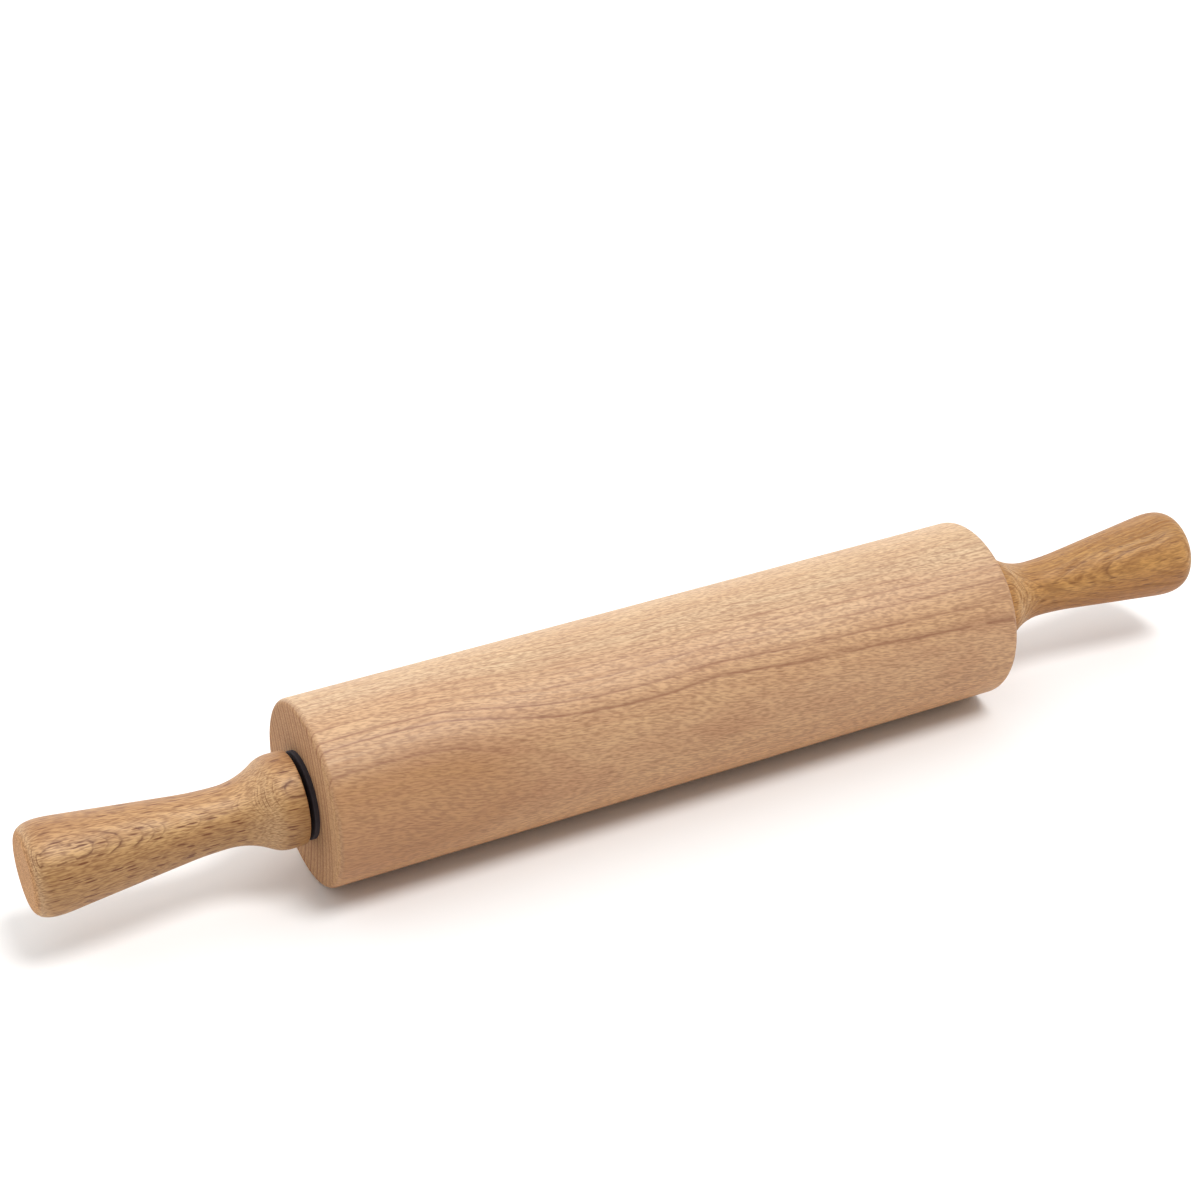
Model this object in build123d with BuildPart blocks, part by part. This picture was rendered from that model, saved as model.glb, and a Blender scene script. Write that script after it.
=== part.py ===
from build123d import *
import os
from math import asin, atan, degrees, radians, sin, tan

os.makedirs("parts", exist_ok=True)

# Rolling pin: a beech barrel that revolves on a steel axle between two fixed turned handles.
# The pin lies along X. The origin is on the resting surface, under the middle of the barrel.
# Lengths are in millimetres and angles in degrees.

# Barrel
barrel_diameter = 60
barrel_length = 244
barrel_edge_radius = 2
barrel_bore_diameter = 12

# Flanged bush, one pressed into each end of the barrel
bush_diameter = 16
bush_length = 14
bush_lead_chamfer = 0.6
flange_diameter = 28.2
flange_thickness = 1.5
flange_edge_radius = 0.4

# Thrust washer between each flange and its handle
washer_diameter = 18
washer_thickness = 1.2
washer_edge_chamfer = 0.2

# Axle: a journal through the barrel, with a thinner threaded end for each handle
axle_diameter = 10
stud_diameter = 8
stud_length = 45
stud_tip_chamfer = 1

# Threaded insert, one screwed into each handle from the collar's back
insert_diameter = 12
insert_length = 15
insert_lead_chamfer = 0.8
insert_head_diameter = 16
insert_head_thickness = 1.5

# Handle, measured outward from the flat back of its collar
handle_length = 84
collar_diameter = 30
collar_edge_radius = 0.6
crown_from_back = 5
crown_radius = 10
band_radius = 60
neck_diameter = 19.3
neck_from_back = 23.5
neck_hollow_radius = 120
grip_taper = 6.5
end_round_length = 12
end_face_diameter = 20
pilot_hole_overrun = 4

# Clearances. The round ones are on the radius
running_clearance = 0.08
seat_clearance = 0.03
thread_clearance = 0.05
end_float = 0.3
pocket_floor_clearance = 0.5

# Places that follow from the sizes
axis_height = barrel_diameter / 2
handle_gap = flange_thickness + end_float + washer_thickness
shoulder_span = barrel_length + 2 * handle_gap
middle_plane = Plane(origin=(0, 0, axis_height), x_dir=(0, 1, 0), z_dir=(1, 0, 0))


def across(distance, outward):
    """Plane square to the pin, facing outward, at a distance from the barrel's middle."""
    return Plane(origin=(outward * distance, 0, axis_height), x_dir=(0, 1, 0), z_dir=(outward, 0, 0))


# Barrel: a plain cylinder with eased ends, bored right through and counterbored for the bushes
with BuildPart() as barrel:
    with BuildSketch(middle_plane):
        Circle(barrel_diameter / 2)
    extrude(amount=barrel_length / 2, both=True)
    rims = barrel.edges().filter_by(GeomType.CIRCLE)
    fillet(rims, barrel_edge_radius)
    for outward in (-1, 1):
        with Locations(across(barrel_length / 2, outward)):
            CounterBoreHole(
                radius=barrel_bore_diameter / 2,
                counter_bore_radius=bush_diameter / 2 + seat_clearance,
                counter_bore_depth=bush_length + pocket_floor_clearance,
                depth=barrel_length / 2,
            )
barrel.part.label = "barrel"
export_step(barrel.part, "parts/barrel.step")

# Axle: the journal's two shoulders stop the handles short of the barrel, so it stays free to turn
with BuildPart() as axle_rod:
    with BuildSketch(middle_plane):
        Circle(axle_diameter / 2)
    extrude(amount=shoulder_span / 2, both=True)
    with BuildSketch(middle_plane):
        Circle(stud_diameter / 2)
    extrude(amount=shoulder_span / 2 + stud_length, both=True)
    rims = axle_rod.edges().group_by(Axis.X)
    chamfer(rims[0] + rims[-1], stud_tip_chamfer)
axle_rod.part.label = "axle_rod"
export_step(axle_rod.part, "parts/axle_rod.step")

# The collar's band is nearly straight up to the crown. From there two arcs that turn by the same
# angle, one each way, make the shoulder and the flare into the neck
crown_to_neck = neck_from_back - crown_from_back
flare_turn = 2 * atan((collar_diameter - neck_diameter) / 2 / crown_to_neck)
flare_radius = crown_to_neck / sin(flare_turn) - crown_radius
band_turn = asin(crown_from_back / band_radius)
grip_slope = tan(radians(grip_taper))

for side, outward in (("left", -1), ("right", 1)):
    out_axis = Axis((0, 0, axis_height), (outward, 0, 0))
    barrel_face = across(barrel_length / 2, outward)
    collar_back = across(shoulder_span / 2, outward)

    # Bush: its body sits in the barrel and its flange lies on the end grain
    with BuildPart() as bush:
        with BuildSketch(barrel_face):
            Circle(flange_diameter / 2)
        extrude(amount=flange_thickness)
        fillet(bush.edges().group_by(out_axis)[-1], flange_edge_radius)
        with BuildSketch(barrel_face):
            Circle(bush_diameter / 2)
        extrude(amount=-bush_length)
        chamfer(bush.edges().group_by(out_axis)[0], bush_lead_chamfer)
        with Locations(barrel_face.offset(flange_thickness)):
            Hole(axle_diameter / 2 + running_clearance)
    bush.part.label = f"{side}_bush"
    export_step(bush.part, f"parts/{side}_bush.step")

    # Thrust washer: it lies on the collar's back, round the end of the journal
    with BuildPart() as washer:
        with BuildSketch(collar_back):
            Circle(washer_diameter / 2)
            Circle(axle_diameter / 2 + running_clearance, mode=Mode.SUBTRACT)
        extrude(amount=-washer_thickness)
        rims = washer.edges().filter_by(GeomType.CIRCLE).group_by(SortBy.RADIUS)[-1]
        chamfer(rims, washer_edge_chamfer)
    washer.part.label = f"{side}_thrust_washer"
    export_step(washer.part, f"parts/{side}_thrust_washer.step")

    # Threaded insert: its head is flush with the collar's back, and the axle's shoulder bears on it
    with BuildPart() as insert:
        with BuildSketch(collar_back):
            Circle(insert_head_diameter / 2)
        extrude(amount=insert_head_thickness)
        with BuildSketch(collar_back):
            Circle(insert_diameter / 2)
        extrude(amount=insert_length)
        chamfer(insert.edges().group_by(out_axis)[-1], insert_lead_chamfer)
        with Locations(collar_back):
            Hole(stud_diameter / 2 + thread_clearance)
    insert.part.label = f"{side}_threaded_insert"
    export_step(insert.part, f"parts/{side}_threaded_insert.step")

    # Handle: turned to a crowned collar, a hollow neck and a straight taper with a rounded end
    turning_plane = Plane(origin=collar_back.origin, x_dir=(outward, 0, 0), z_dir=(0, -outward, 0))
    with BuildPart() as handle:
        with BuildSketch(turning_plane):
            with BuildLine():
                crown = (crown_from_back, collar_diameter / 2)
                band_arc = JernArc(crown, (-1, 0), band_radius, degrees(band_turn))
                crown_arc = JernArc(crown, (1, 0), crown_radius, -degrees(flare_turn))
                flare_arc = JernArc(crown_arc @ 1, crown_arc % 1, flare_radius, degrees(flare_turn))
                neck_arc = JernArc(flare_arc @ 1, (1, 0), neck_hollow_radius, grip_taper)
                reach = handle_length - end_round_length - (neck_arc @ 1).X
                grip = Line(neck_arc @ 1, neck_arc @ 1 + Vector(reach, reach * grip_slope))
                end_corner = (handle_length, end_face_diameter / 2)
                Spline(grip @ 1, end_corner, tangents=[grip % 1, (0, -1)])
                Polyline(end_corner, (handle_length, 0), (0, 0), band_arc @ 1)
            make_face()
        revolve(axis=out_axis)
        back_rim = handle.edges().filter_by(GeomType.CIRCLE).group_by(out_axis)[0]
        fillet(back_rim, collar_edge_radius)
        with Locations(-collar_back):
            CounterBoreHole(
                radius=insert_diameter / 2 + seat_clearance,
                counter_bore_radius=insert_head_diameter / 2 + seat_clearance,
                counter_bore_depth=insert_head_thickness,
                depth=insert_length + pocket_floor_clearance,
            )
            Hole(stud_diameter / 2 + thread_clearance, depth=stud_length + pilot_hole_overrun)
    handle.part.label = f"{side}_handle"
    export_step(handle.part, f"parts/{side}_handle.step")
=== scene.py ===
from math import cos, radians, sin

import bpy
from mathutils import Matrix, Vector

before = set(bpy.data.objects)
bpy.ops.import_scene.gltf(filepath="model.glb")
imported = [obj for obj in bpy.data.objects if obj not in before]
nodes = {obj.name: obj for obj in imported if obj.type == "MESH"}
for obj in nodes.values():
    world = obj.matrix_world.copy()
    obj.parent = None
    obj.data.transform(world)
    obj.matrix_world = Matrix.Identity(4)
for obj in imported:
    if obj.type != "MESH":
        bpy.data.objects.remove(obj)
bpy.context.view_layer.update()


# Photographer's table: a white paper sweep under one large softbox, which stands a little nearer the
# camera and to the right of the pin, so far off that it lights the paper evenly. The pale room is
# brightest behind the pin, where it shines on the paper and on the top of the wood.
scene = bpy.context.scene
scene.view_settings.view_transform = "Standard"
scene.view_settings.look = "None"

# The scene is in metres. A pattern with n grains to the millimetre has the scale n / mm
mm = 0.001


def linear(colour):
    """An sRGB colour written as six hex digits, as the linear RGBA that a shader takes."""
    shares = [int(colour[i : i + 2], 16) / 255 for i in (0, 2, 4)]
    return [c / 12.92 if c <= 0.04045 else ((c + 0.055) / 1.055) ** 2.4 for c in shares] + [1]


def add(tree, kind, sockets=None, **settings):
    """A new shader node with its settings, and its sockets given a value or another node's output."""
    made = tree.nodes.new(kind)
    for name, value in settings.items():
        setattr(made, name, value)
    for socket, value in (sockets or {}).items():
        if isinstance(value, bpy.types.Node):
            value = value.outputs[0]
        if isinstance(value, bpy.types.NodeSocket):
            tree.links.new(value, made.inputs[socket])
        else:
            made.inputs[socket].default_value = value
    return made


def fresh_material(name):
    """An empty material and its node tree."""
    material = bpy.data.materials.new(name)
    material.use_nodes = True
    material.node_tree.nodes.clear()
    return material, material.node_tree


# Uncoated paper is matt, so it mirrors nothing of the pin. The tooth of real paper is near 0.1 mm,
# too fine to show, and is drawn 1.1 mm wide
paper_size = 60
paper_tooth_per_mm = 0.9
bpy.ops.object.select_all(action="DESELECT")
bpy.ops.mesh.primitive_plane_add(size=paper_size)
table = bpy.context.object
table.name = "paper_table"
paper, tree = fresh_material("matt white paper")
paper_place = add(tree, "ShaderNodeTexCoord").outputs["Object"]
paper_tooth = add(
    tree, "ShaderNodeTexNoise", {"Vector": paper_place, "Scale": paper_tooth_per_mm / mm, "Detail": 2.0}
)
paper_bump = add(
    tree, "ShaderNodeBump", {"Strength": 0.05, "Distance": 0.2 * mm, "Height": paper_tooth}
)
paper_skin = add(
    tree,
    "ShaderNodeBsdfPrincipled",
    {"Base Color": linear("F4F3F2"), "Roughness": 0.9, "Specular IOR Level": 0.1, "Normal": paper_bump},
)
add(tree, "ShaderNodeOutputMaterial", {"Surface": paper_skin})
table.data.materials.append(paper)

room = bpy.data.worlds.new("pale room")
scene.world = room
room.use_nodes = True
tree = room.node_tree
wall = tree.nodes["Background"]
wall.inputs["Color"].default_value = linear("FFFFFF")
wall_place = add(tree, "ShaderNodeTexCoord").outputs["Generated"]
wall_depth = add(tree, "ShaderNodeSeparateXYZ", {0: wall_place}).outputs["Y"]
wall_light = add(
    tree, "ShaderNodeMapRange", {"Value": wall_depth, "From Min": -1.0, "To Min": 0.1, "To Max": 1.8}
)
tree.links.new(wall_light.outputs[0], wall.inputs["Strength"])

# Angles in degrees: how wide the softbox looks from the pin, and those whose sines are its distances
# to the right and to the front for a height of 1. It stands about 14 and 18 degrees off the vertical
softbox_width = 22
softbox_to_right = 14
softbox_to_front = 19
softbox = bpy.data.lights.new("softbox", "SUN")
softbox.energy = 1.75
softbox.angle = radians(softbox_width)
softbox_stand = bpy.data.objects.new("softbox", softbox)
scene.collection.objects.link(softbox_stand)
softbox_from = Vector((sin(radians(softbox_to_right)), -sin(radians(softbox_to_front)), 1))
softbox_stand.rotation_mode = "QUATERNION"
softbox_stand.rotation_quaternion = softbox_from.to_track_quat("Z", "Y")

# The camera stands at the front left, 31 degrees up. Its place and lens were fitted to the outlines
# of the barrel and the handles in the photograph
view_height = radians(30.929)
view_turn = radians(-27.122)
view_distance = 0.7761
view_target = Vector((-0.02007, 0, 0.07138))
towards_camera = Vector(
    (sin(view_turn) * cos(view_height), -cos(view_turn) * cos(view_height), sin(view_height))
)
lens = bpy.data.cameras.new("camera")
lens.sensor_width = 36
lens.lens = 74.41
lens.clip_start = 0.01
camera = bpy.data.objects.new("camera", lens)
scene.collection.objects.link(camera)
camera.location = view_target + towards_camera * view_distance
camera.rotation_mode = "QUATERNION"
camera.rotation_quaternion = (-towards_camera).to_track_quat("-Z", "Y")
scene.camera = camera


# Barrel: one length of steamed beech, turned and fine-sanded but not varnished. Its growth rings
# lie square to the photographed side, so they meet it as a few long lines with plain wood below.
# The rings drift forward along the barrel, and its ends show them as upright stripes.
pin_axis_mm = 30


def streaks(tree, grain, sizes, detail=2.0):
    """Noise whose grains have the given sizes in mm: along the wood, round its heart and outward."""
    shares = add(
        tree,
        "ShaderNodeVectorMath",
        {0: grain, 1: [1 / size for size in sizes]},
        operation="MULTIPLY",
    )
    return add(tree, "ShaderNodeTexNoise", {"Vector": shares, "Scale": 1.0, "Detail": detail})


def ring_lines(tree, depth, rings):
    """Dark lines at growth rings, from (depth in mm, width in mm, strength), nearest the heart first.

    Each line darkens slowly towards the bark, as a year's wood does, and ends sharply.
    """
    per_ramp = 7  # with 4 stops each, in a colour ramp that holds 32
    profile = ((-2.2, 0), (-0.6, 0.35), (0, 1), (0.6, 0))  # widths from the ring, darkness
    lines = None
    for first in range(0, len(rings), per_ramp):
        some = rings[first : first + per_ramp]
        low = some[0][0] - 3 * some[0][1]
        high = some[-1][0] + some[-1][1]
        share = add(tree, "ShaderNodeMapRange", {"Value": depth, "From Min": low, "From Max": high})
        ramp = add(tree, "ShaderNodeValToRGB", {"Fac": share})
        stops = ramp.color_ramp.elements
        for end in stops:
            end.color = (0, 0, 0, 1)
        for at, width, strength in some:
            for offset, level in profile:
                shade = level * strength
                place = (at + offset * width - low) / (high - low)
                stops.new(place).color = (shade, shade, shade, 1)
        lines = ramp if lines is None else add(
            tree, "ShaderNodeMath", {0: lines, 1: ramp}, operation="MAXIMUM"
        )
    return lines


def graded(tree, place, stops):
    """Colour that changes evenly between (place in mm, colour) pairs. Needs two pairs or more."""
    low, high = stops[0][0], stops[-1][0]
    share = add(tree, "ShaderNodeMapRange", {"Value": place, "From Min": low, "From Max": high})
    ramp = add(tree, "ShaderNodeValToRGB", {"Fac": share})
    elements = ramp.color_ramp.elements
    elements[0].color = linear(stops[0][1])
    elements[1].color = linear(stops[-1][1])
    for at, colour in stops[1:-1]:
        elements.new((at - low) / (high - low)).color = linear(colour)
    return ramp


def beech(
    name, face, heart, drift, rings, sway, tones, colours, layers, rays, dash, end_rings, fading=None
):
    """Turned beech. The wood is solid: every pattern is worked out in the board it was cut from.

    Sizes are in mm, and a size of three goes along the wood, round its heart and outward.
    face: angle, up from the front, of the side where the rings lie flat.
    heart: distance of the tree's middle behind the piece's own axis.
    drift: how far the rings have moved towards the face, as (place along the pin, distance).
    sway: how far the rings wander from that, in slow waves and in quick ones.
    rings, end_rings: the lines on the sides and on the end grain, as ring_lines takes them.
    tones: ground colours by ring depth or by place around the tree, partly the wood's own tone and
    partly painted shade, tints that multiply them in clouds and, as painted shade, on the lower
    side, and the colours of sloping wood and of end grain.
    rays: their strength, and below the strength on the lower side. slant is the fibres' own.
    dash: ring lines are whole where the noise is well above "from", and keep the share "least"
        elsewhere. shown is a grey for how much of them shows, by place around the tree.
    fading: one more ring, as (depth, width, strength, whole as far as, gone at).
    """
    material, tree = fresh_material(name)
    coordinates = add(tree, "ShaderNodeTexCoord")
    turn = radians(face)
    board = add(
        tree,
        "ShaderNodeMapping",
        {
            "Vector": coordinates.outputs["Object"],
            "Location": (0, pin_axis_mm * sin(turn), -pin_axis_mm * cos(turn)),
            "Rotation": (turn, 0, 0),
            "Scale": (1 / mm, 1 / mm, 1 / mm),
        },
    )
    along, behind, across = add(tree, "ShaderNodeSeparateXYZ", {0: board}).outputs
    outward = add(tree, "ShaderNodeMath", {0: heart, 1: behind}, operation="SUBTRACT")
    from_heart = add(tree, "ShaderNodeCombineXYZ", {1: outward, 2: across})
    reach = add(tree, "ShaderNodeVectorMath", {0: from_heart}, operation="LENGTH").outputs["Value"]
    depth = add(tree, "ShaderNodeMath", {0: reach, 1: heart}, operation="SUBTRACT")
    angle = add(tree, "ShaderNodeMath", {0: across, 1: outward}, operation="ARCTAN2")
    around = add(tree, "ShaderNodeMath", {0: angle, 1: heart}, operation="MULTIPLY")

    # The fibres wind a little round the tree, and wander
    wander_size = (60, 20, 20)
    wander_by = 5.0
    winding = add(
        tree, "ShaderNodeMath", {0: along, 1: rays["slant"], 2: around}, operation="MULTIPLY_ADD"
    )
    wander = streaks(tree, board, wander_size, 1.0)
    winding = add(
        tree, "ShaderNodeMath", {0: wander, 1: wander_by, 2: winding}, operation="MULTIPLY_ADD"
    )
    fibres = add(tree, "ShaderNodeCombineXYZ", {0: along, 1: winding, 2: depth})

    # The rings' drift along the piece, with slow and quick waves on it
    slow_waves = (55, 22, 22)
    quick_waves = (7, 2.5, 2.5)
    first, last = drift[0][0], drift[-1][0]
    most = max(amount for _, amount in drift)
    least = min(amount for _, amount in drift)
    share = add(tree, "ShaderNodeMapRange", {"Value": along, "From Min": first, "From Max": last})
    curve = add(tree, "ShaderNodeFloatCurve", {"Value": share})
    points = curve.mapping.curves[0].points
    for number, (at, amount) in enumerate(drift):
        spot = ((at - first) / (last - first), (amount - least) / (most - least))
        if number in (0, len(drift) - 1):
            points[0 if number == 0 else -1].location = spot
        else:
            points.new(*spot)
    curve.mapping.update()
    middle = sum(sway) / 2
    drifted = add(
        tree, "ShaderNodeMapRange", {"Value": curve, "To Min": least - middle, "To Max": most - middle}
    )
    ring_depth = add(tree, "ShaderNodeMath", {0: depth, 1: drifted}, operation="SUBTRACT")
    for sizes, swing in zip((slow_waves, quick_waves), sway):
        wave = streaks(tree, board, sizes)
        ring_depth = add(
            tree, "ShaderNodeMath", {0: wave, 1: -swing, 2: ring_depth}, operation="MULTIPLY_ADD"
        )
    layered = add(tree, "ShaderNodeCombineXYZ", {0: along, 1: winding, 2: ring_depth})

    # End grain, and the slopes that cut the fibres at an angle. facing is 1 on an end face
    end_from, end_whole = 0.6, 0.97
    slope_from, slope_whole, slope_share = 0.15, 0.6, 0.6
    facing = add(tree, "ShaderNodeSeparateXYZ", {0: coordinates.outputs["Normal"]}).outputs["X"]
    facing = add(tree, "ShaderNodeMath", {0: facing}, operation="ABSOLUTE")
    end_grain = add(
        tree,
        "ShaderNodeMapRange",
        {"Value": facing, "From Min": end_from, "From Max": end_whole},
        interpolation_type="SMOOTHSTEP",
    )
    sloping = add(
        tree,
        "ShaderNodeMapRange",
        {"Value": facing, "From Min": slope_from, "From Max": slope_whole, "To Max": slope_share},
    )

    # Ring lines, broken into dashes. They show most where the piece's own list says
    dash_edge = 0.12
    broken = streaks(tree, layered, dash["size"], 1.0)
    kept = add(
        tree,
        "ShaderNodeMapRange",
        {
            "Value": broken,
            "From Min": dash["from"],
            "From Max": dash["from"] + dash_edge,
            "To Min": dash["least"],
        },
        interpolation_type="SMOOTHSTEP",
    )
    shown = graded(tree, around, dash["shown"])
    lines = ring_lines(tree, ring_depth, rings)
    if fading:
        at, width, strength, whole_to, gone_at = fading
        faint = ring_lines(tree, ring_depth, [(at, width, strength)])
        left = add(
            tree,
            "ShaderNodeMapRange",
            {"Value": along, "From Min": gone_at, "From Max": whole_to},
            interpolation_type="SMOOTHSTEP",
        )
        faint = add(tree, "ShaderNodeMath", {0: faint, 1: left}, operation="MULTIPLY")
        lines = add(tree, "ShaderNodeMath", {0: lines, 1: faint}, operation="MAXIMUM")
    line_marks = add(tree, "ShaderNodeMath", {0: lines, 1: kept}, operation="MULTIPLY")
    line_marks = add(tree, "ShaderNodeMath", {0: line_marks, 1: shown}, operation="MULTIPLY")
    end_lines = ring_lines(tree, ring_depth, end_rings)
    end_marks = add(tree, "ShaderNodeMath", {0: end_lines, 1: end_grain}, operation="MULTIPLY")

    # Layers within each year's ring, and pores. Real pores are under 0.1 mm wide, too fine to show,
    # so they are drawn about 0.35 mm wide. Both limits are levels of the noise
    layer_limits = (0.42, 0.72)
    pore_limits = (0.38, 0.66)
    marks = []
    for grain, sizes, detail, (low, high), strength in (
        (layered, layers["size"], 3.0, layer_limits, layers["strength"]),
        (fibres, rays["pores"], 1.0, pore_limits, rays["pore_strength"]),
    ):
        noise = streaks(tree, grain, sizes, detail)
        mark = add(
            tree,
            "ShaderNodeMapRange",
            {"Value": noise, "From Min": low, "From Max": high, "To Max": strength},
        )
        marks.append(mark)

    # Rays, cut across as short dark spindles. Each is as dark as its cell's random colour says, and
    # they fade on the slopes, which cut them to specks
    spindle_edge, spindle_core = 1.3, 0.6
    lower_from, lower_whole = 4.0, -14.0
    rays_gone, rays_whole = 0.45, 0.12
    cells = add(
        tree,
        "ShaderNodeVectorMath",
        {0: fibres, 1: [1 / size for size in rays["size"]]},
        operation="MULTIPLY",
    )
    spindles = add(tree, "ShaderNodeTexVoronoi", {"Vector": cells, "Scale": 1.0})
    spindle = add(
        tree,
        "ShaderNodeMapRange",
        {
            "Value": spindles.outputs["Distance"],
            "From Min": rays["thick"] * spindle_edge,
            "From Max": rays["thick"] * spindle_core,
        },
    )
    # lower is 1 on the lower side. It sets the rays' strength there and the painted shade tint of that
    # side
    lower = add(
        tree, "ShaderNodeMapRange", {"Value": around, "From Min": lower_from, "From Max": lower_whole}
    )
    strength = add(
        tree, "ShaderNodeMapRange", {"Value": lower, "To Min": rays["strength"], "To Max": rays["below"]}
    )
    darkness = add(tree, "ShaderNodeSeparateColor", {0: spindles.outputs["Color"]}).outputs[0]
    darkness = add(tree, "ShaderNodeMath", {0: darkness, 1: strength}, operation="MULTIPLY")
    lengthwise = add(
        tree, "ShaderNodeMapRange", {"Value": facing, "From Min": rays_gone, "From Max": rays_whole}
    )
    darkness = add(tree, "ShaderNodeMath", {0: darkness, 1: lengthwise}, operation="MULTIPLY")
    marks.append(add(tree, "ShaderNodeMath", {0: spindle, 1: darkness}, operation="MULTIPLY"))

    # The ground colour, partly the wood's own tone and partly painted shade, then everything that tints
    # or marks it
    cloud_size = (45, 14, 14)
    cloud_from, cloud_whole, cloud_most = 0.35, 0.65, 0.5
    ground = {"depth": ring_depth, "around": around}[tones["by"]]
    tone = graded(tree, ground, tones["stops"])
    clouds = streaks(tree, board, cloud_size)
    cloud_share = add(
        tree,
        "ShaderNodeMapRange",
        {"Value": clouds, "From Min": cloud_from, "From Max": cloud_whole, "To Max": cloud_most},
    )
    # The tint on the lower side is painted shade: it makes that side darker and warmer
    for share, tint, blend in (
        (cloud_share, tones["cloud"], "MULTIPLY"),
        (lower, tones["lower"], "MULTIPLY"),
        (sloping, tones["slope"], "MIX"),
        (end_grain, tones["end"], "MIX"),
        (marks[0], colours["layer"], "MIX"),
        (marks[1], colours["fleck"], "MIX"),
        (marks[2], colours["fleck"], "MIX"),
        (line_marks, colours["ring"], "MIX"),
        (end_marks, colours["ring"], "MIX"),
    ):
        tone = add(
            tree,
            "ShaderNodeMix",
            {0: share, 6: tone, 7: linear(tint)},
            data_type="RGBA",
            blend_type=blend,
        ).outputs[2]

    # Fine-sanded and unvarnished, the wood has a soft sheen without a clear highlight. Its end grain
    # is duller still, and the lines and pores lie a little lower than the rest
    end_dulling = 0.35
    line_depth = 0.3
    roughness = add(tree, "ShaderNodeMapRange", {"Value": marks[0], "To Min": 0.5, "To Max": 0.75})
    roughness = add(
        tree, "ShaderNodeMath", {0: end_grain, 1: end_dulling, 2: roughness}, operation="MULTIPLY_ADD"
    )
    relief = add(tree, "ShaderNodeMath", {0: marks[2], 1: marks[1]}, operation="ADD")
    relief = add(
        tree, "ShaderNodeMath", {0: line_marks, 1: line_depth, 2: relief}, operation="MULTIPLY_ADD"
    )
    bump = add(
        tree, "ShaderNodeBump", {"Strength": 0.35, "Distance": 0.08 * mm, "Height": relief}, invert=True
    )
    skin = add(
        tree,
        "ShaderNodeBsdfPrincipled",
        {"Base Color": tone, "Roughness": roughness, "Specular IOR Level": 0.55, "Normal": bump},
    )
    add(tree, "ShaderNodeOutputMaterial", {"Surface": skin})
    return material


# The rings from 10.4 mm on, the fading one and the drift were fitted to points read along seven
# growth lines of the photograph, and the tones matched to its shades. The other rings are a guess
barrel_rings = [
    (-36.1, 0.5, 0.25), (-33.4, 0.5, 0.3), (-30.9, 0.5, 0.2), (-28.2, 0.5, 0.3), (-25.7, 0.5, 0.2),
    (-23.1, 0.5, 0.25), (-20.4, 0.5, 0.3), (-17.9, 0.5, 0.2), (-15.0, 0.5, 0.3), (-12.4, 0.5, 0.2),
    (-9.9, 0.5, 0.25), (-7.1, 0.5, 0.2), (-4.5, 0.5, 0.15), (-2.1, 0.5, 0.15), (0.6, 0.5, 0.15),
    (3.1, 0.45, 0.25), (5.4, 0.4, 0.35), (7.9, 0.35, 0.4), (10.4, 0.32, 0.45), (12.7, 0.32, 0.5),
    (14.8, 0.32, 0.5), (17.6, 0.32, 0.6), (20.4, 0.36, 0.65), (22.2, 0.36, 0.75),
]
barrel_wood = beech(
    "steamed beech, fine-sanded",
    face=5,
    heart=60,
    drift=[
        (-122, 0.0), (-105, -0.3), (-88, 0.0), (-72, 1.4), (-56, 3.2), (-40, 4.4), (-24, 4.9), (-8, 5.0),
        (8, 4.7), (24, 5.1), (42, 5.7), (58, 5.9), (90, 6.5), (122, 7.0),
    ],
    rings=barrel_rings,
    sway=(0.3, 0.25),
    # Ground tones: the wood's own tone and painted shade, darkening from the top round to the front. The
    # lower tint is painted shade
    tones={
        "by": "depth",
        "stops": [
            (-34, "D5B48C"), (3, "D3B288"), (9, "D6B790"), (15, "D6AF85"),
            (21, "D3A97E"), (24, "CDA47A"), (26, "C3986E"), (28, "B88A5D"),
        ],
        "cloud": "F2E8E6", "lower": "FCF0DC", "slope": "AE855C", "end": "BE9568",
    },
    colours={"layer": "AD7B58", "fleck": "835637", "ring": "86553A"},
    layers={"size": (25, 5, 0.5), "strength": 0.4},
    rays={
        "size": (4.5, 0.6, 1.3), "thick": 0.26, "strength": 0.45, "below": 0.45,
        "pores": (2.8, 0.36, 0.5), "pore_strength": 0.52, "slant": 0.14,
    },
    dash={"size": (8, 2, 1), "from": 0.34, "least": 0.55, "shown": [(-6, "9C9C9C"), (6, "FFFFFF")]},
    end_rings=[(at, 0.75, 1.0 - 0.4 * (number % 2)) for number, (at, _, _) in enumerate(barrel_rings)],
    fading=(26.3, 0.35, 0.6, -78, -52),
)
nodes["barrel"].material_slots[0].material = barrel_wood


# Handles: two turnings of a second beech board, more golden and with coarser marks. Where the rings
# lie flat they close into an eye on each collar's crown and into long loops on the grip.

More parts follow.
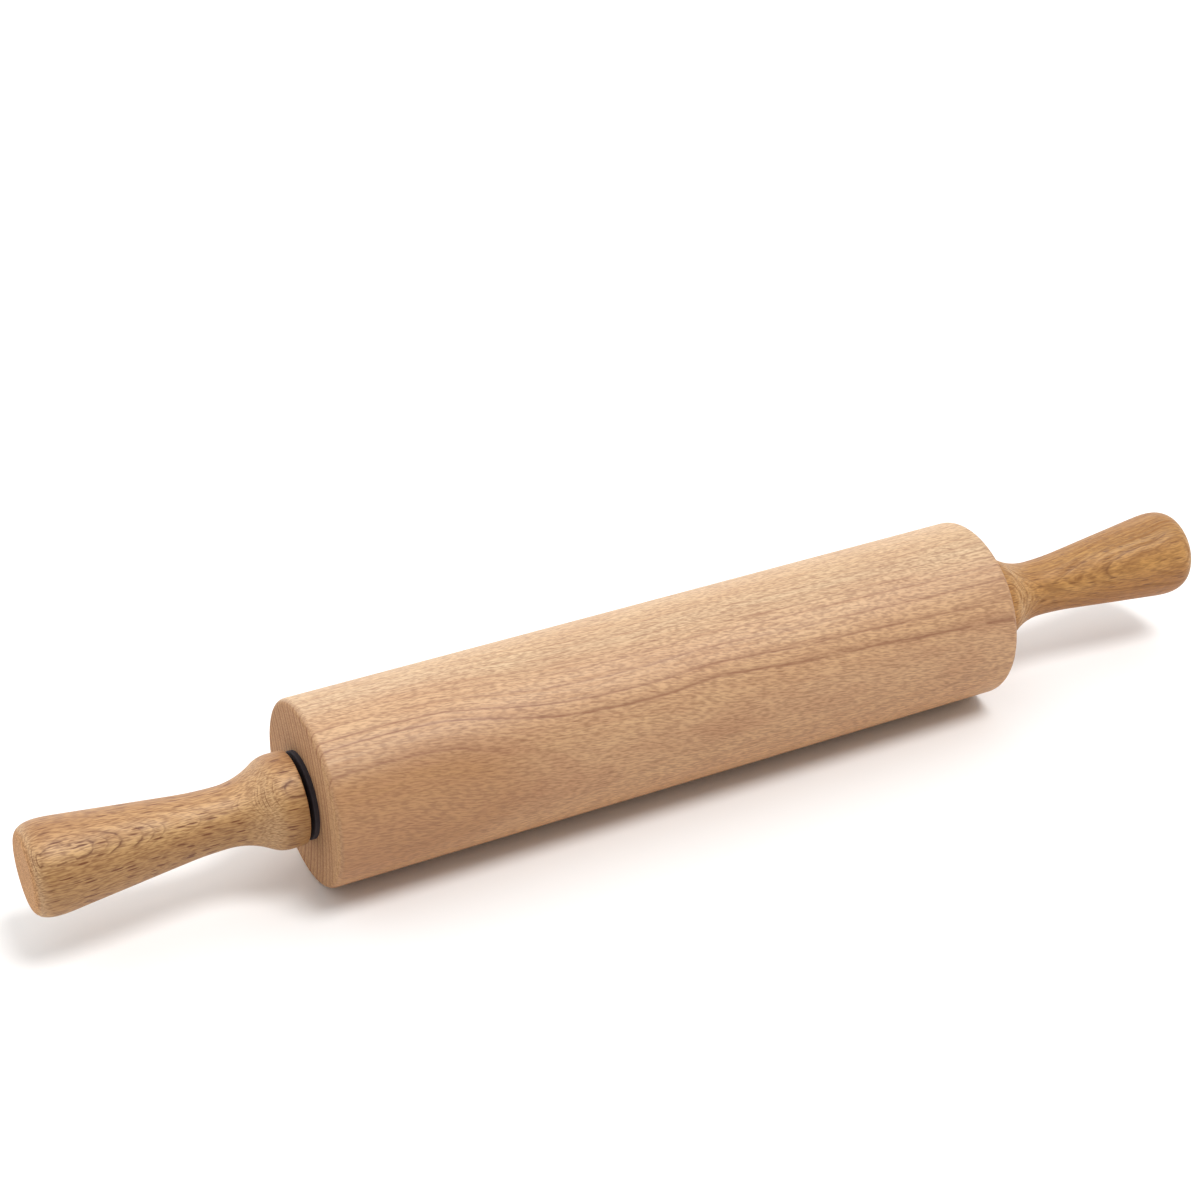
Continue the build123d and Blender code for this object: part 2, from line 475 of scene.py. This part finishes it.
# The drifts, and the rings from 9.7 mm on the left and from 8.4 mm on the right, were worked out from
# the arcs, loops and streak in the photograph, and the tones matched to it. The other rings, those
# on the end grain among them, are a guess
left_wood = beech(
    "golden beech, left handle",
    face=46,
    heart=45,
    drift=[
        (-209, 0.8), (-206.5, 1.0), (-203, 1.6), (-198, 1.45), (-195, 1.1), (-190, 0.65), (-184, 0.35),
        (-171, 0.0), (-145, 0.0), (-139, -0.15), (-130, -0.5), (-125, -0.8),
    ],
    rings=[
        (-14.2, 0.2, 0.5), (-12.9, 0.2, 0.4), (-11.7, 0.2, 0.5), (-10.3, 0.2, 0.4), (-9.2, 0.2, 0.5),
        (-7.8, 0.2, 0.4), (-6.6, 0.2, 0.5), (-5.2, 0.2, 0.4), (-4.1, 0.2, 0.5), (-2.8, 0.2, 0.4),
        (-1.5, 0.2, 0.5), (-0.4, 0.2, 0.4), (1.0, 0.2, 0.5), (2.2, 0.2, 0.4), (3.4, 0.2, 0.5),
        (4.6, 0.2, 0.4), (5.7, 0.2, 0.5), (6.9, 0.2, 0.5), (8.0, 0.2, 0.6), (8.9, 0.2, 0.6),
        (9.7, 0.08, 0.3), (9.9, 0.08, 0.4), (11.1, 0.1, 0.5), (11.45, 0.1, 0.7), (11.8, 0.1, 0.9),
        (12.35, 0.1, 1.0), (12.65, 0.08, 0.5), (12.9, 0.1, 1.0), (14.3, 0.12, 0.8), (15.4, 0.12, 1.0),
    ],
    sway=(0.12, 0.08),
    # Ground tones: the wood's own tone and painted shade, lightest where the rings lie flat and darker to
    # each side
    tones={
        "by": "around",
        "stops": [
            (-11, "B48952"), (-5, "B28853"), (-2, "C89F69"),
            (2, "D9AE7A"), (5, "C69A66"), (8, "B08350"),
        ],
        "cloud": "F4EAE6", "lower": "FFFFFF", "slope": "D0AC7F", "end": "CE9C68",
    },
    colours={"layer": "A06F40", "fleck": "6F3D17", "ring": "6A3B18"},
    layers={"size": (22, 4, 0.4), "strength": 0.4},
    rays={
        "size": (8.0, 0.74, 1.3), "thick": 0.27, "strength": 1.3, "below": 2.8,
        "pores": (3.0, 0.33, 0.6), "pore_strength": 0.6, "slant": 0.03,
    },
    dash={
        "size": (3.0, 2.4, 0.9), "from": 0.4, "least": 0.35,
        "shown": [
            (-7, "707070"), (-4, "8A8A8A"), (-2, "FFFFFF"),
            (2, "FFFFFF"), (4, "707070"), (7, "505050"),
        ],
    },
    end_rings=[(1.2 * number - 14.2, 0.2, 0.4) for number in range(25)],
)
right_wood = beech(
    "golden beech, right handle",
    face=28,
    heart=45,
    drift=[(125, -0.3), (140, 0.0), (172, 0.0), (187, 0.7), (198, 1.4), (209, 1.0)],
    rings=[
        (-14.0, 0.2, 0.4), (-12.7, 0.2, 0.3), (-11.5, 0.2, 0.4), (-10.1, 0.2, 0.3), (-9.0, 0.2, 0.4),
        (-7.6, 0.2, 0.3), (-6.4, 0.2, 0.4), (-5.0, 0.2, 0.3), (-3.9, 0.2, 0.4), (-2.6, 0.2, 0.3),
        (-1.3, 0.2, 0.4), (-0.2, 0.2, 0.3), (1.2, 0.2, 0.4), (2.4, 0.2, 0.3), (3.6, 0.2, 0.4),
        (4.8, 0.2, 0.3), (5.9, 0.2, 0.4), (7.2, 0.18, 0.4), (8.4, 0.14, 0.55), (9.6, 0.14, 0.7),
        (11.6, 0.16, 0.9), (15.2, 0.12, 0.5),
    ],
    sway=(0.2, 0.15),
    # Ground tones: the wood's own tone and painted shade, lightest where the rings lie flat and darker to
    # each side
    tones={
        "by": "around",
        "stops": [
            (-8, "AD712B"), (-5, "BC823A"), (-2, "C6924F"),
            (3, "C59150"), (6, "BB8A46"), (9, "AE7D3D"),
        ],
        "cloud": "F4ECE6", "lower": "FFFFFF", "slope": "CCA878", "end": "BC8A50",
    },
    colours={"layer": "97642D", "fleck": "6B3E16", "ring": "704118"},
    layers={"size": (26, 3.5, 0.5), "strength": 0.95},
    rays={
        "size": (7.0, 0.7, 1.3), "thick": 0.28, "strength": 0.9, "below": 0.9,
        "pores": (3.0, 0.36, 0.6), "pore_strength": 0.45, "slant": 0.05,
    },
    dash={"size": (5, 2.2, 1.2), "from": 0.38, "least": 0.45, "shown": [(-10, "C0C0C0"), (10, "FFFFFF")]},
    end_rings=[(1.25 * number - 14.0, 0.2, 0.4) for number in range(24)],
)
nodes["left_handle"].material_slots[0].material = left_wood
nodes["right_handle"].material_slots[0].material = right_wood


# Bushes: turned from a black nylon rod and pressed into the barrel's ends. Their flanges are the
# dark rings that show in the gaps behind the handles' collars, dark partly from the nylon's own
# colour and partly as painted shade of those narrow gaps. Turning leaves the nylon dull.

# Its turning marks are near 0.1 mm, too fine to show, and are drawn as spots 1.4 mm wide
nylon_marks_per_mm = 0.7
nylon, tree = fresh_material("black nylon, turned, with gap shade")
nylon_place = add(tree, "ShaderNodeTexCoord").outputs["Object"]
nylon_rub = add(
    tree, "ShaderNodeTexNoise", {"Vector": nylon_place, "Scale": nylon_marks_per_mm / mm, "Detail": 3.0}
)
# The dark, slightly purple grey is partly the nylon's own colour and partly painted shade of the gaps
# behind the collars
nylon_and_gap_shade_tone = add(
    tree,
    "ShaderNodeMix",
    {0: nylon_rub, 6: linear("2C282C"), 7: linear("3E373A")},
    data_type="RGBA",
).outputs[2]
nylon_roughness = add(tree, "ShaderNodeMapRange", {"Value": nylon_rub, "To Min": 0.75, "To Max": 0.9})
nylon_bump = add(
    tree, "ShaderNodeBump", {"Strength": 0.2, "Distance": 0.05 * mm, "Height": nylon_rub}
)
nylon_skin = add(
    tree,
    "ShaderNodeBsdfPrincipled",
    {
        "Base Color": nylon_and_gap_shade_tone,
        "Roughness": nylon_roughness,
        "Specular IOR Level": 0.25,
        "Normal": nylon_bump,
    },
)
add(tree, "ShaderNodeOutputMaterial", {"Surface": nylon_skin})
for side in ("left", "right"):
    nodes[f"{side}_bush"].material_slots[0].material = nylon


# Axle and thrust washers: drawn bright steel, with fine turning marks round the axis and a trace of
# grease that dulls them. Threaded inserts: turned brass, clean and a little brighter.
def turned_metal(name, bright, dull, roughness):
    """Metal with marks round the pin's axis, and patches about 8 mm wide that are duller.

    Real turning marks are near 0.1 mm apart, too fine to show, and are drawn 0.4 mm apart.
    """
    marks_per_mm = (2.5, 0.06, 0.06)
    patches_per_mm = 0.12
    dulling = 0.2
    material, tree = fresh_material(name)
    place = add(tree, "ShaderNodeTexCoord").outputs["Object"]
    marks = add(
        tree,
        "ShaderNodeVectorMath",
        {0: place, 1: [count / mm for count in marks_per_mm]},
        operation="MULTIPLY",
    )
    marks = add(tree, "ShaderNodeTexNoise", {"Vector": marks, "Scale": 1.0, "Detail": 1.0})
    patches = add(
        tree, "ShaderNodeTexNoise", {"Vector": place, "Scale": patches_per_mm / mm, "Detail": 3.0}
    )
    tone = add(
        tree, "ShaderNodeMix", {0: patches, 6: linear(bright), 7: linear(dull)}, data_type="RGBA"
    ).outputs[2]
    shine = add(
        tree, "ShaderNodeMapRange", {"Value": patches, "To Min": roughness, "To Max": roughness + dulling}
    )
    bump = add(tree, "ShaderNodeBump", {"Strength": 0.15, "Distance": 0.03 * mm, "Height": marks})
    skin = add(
        tree,
        "ShaderNodeBsdfPrincipled",
        {"Base Color": tone, "Metallic": 1.0, "Roughness": shine, "Normal": bump},
    )
    add(tree, "ShaderNodeOutputMaterial", {"Surface": skin})
    return material


steel = turned_metal("bright drawn steel, greased", "A9A8A5", "6E6C68", 0.3)
brass = turned_metal("turned brass", "D2B064", "A98740", 0.28)
nodes["axle_rod"].material_slots[0].material = steel
for side in ("left", "right"):
    nodes[f"{side}_thrust_washer"].material_slots[0].material = steel
    nodes[f"{side}_threaded_insert"].material_slots[0].material = brass
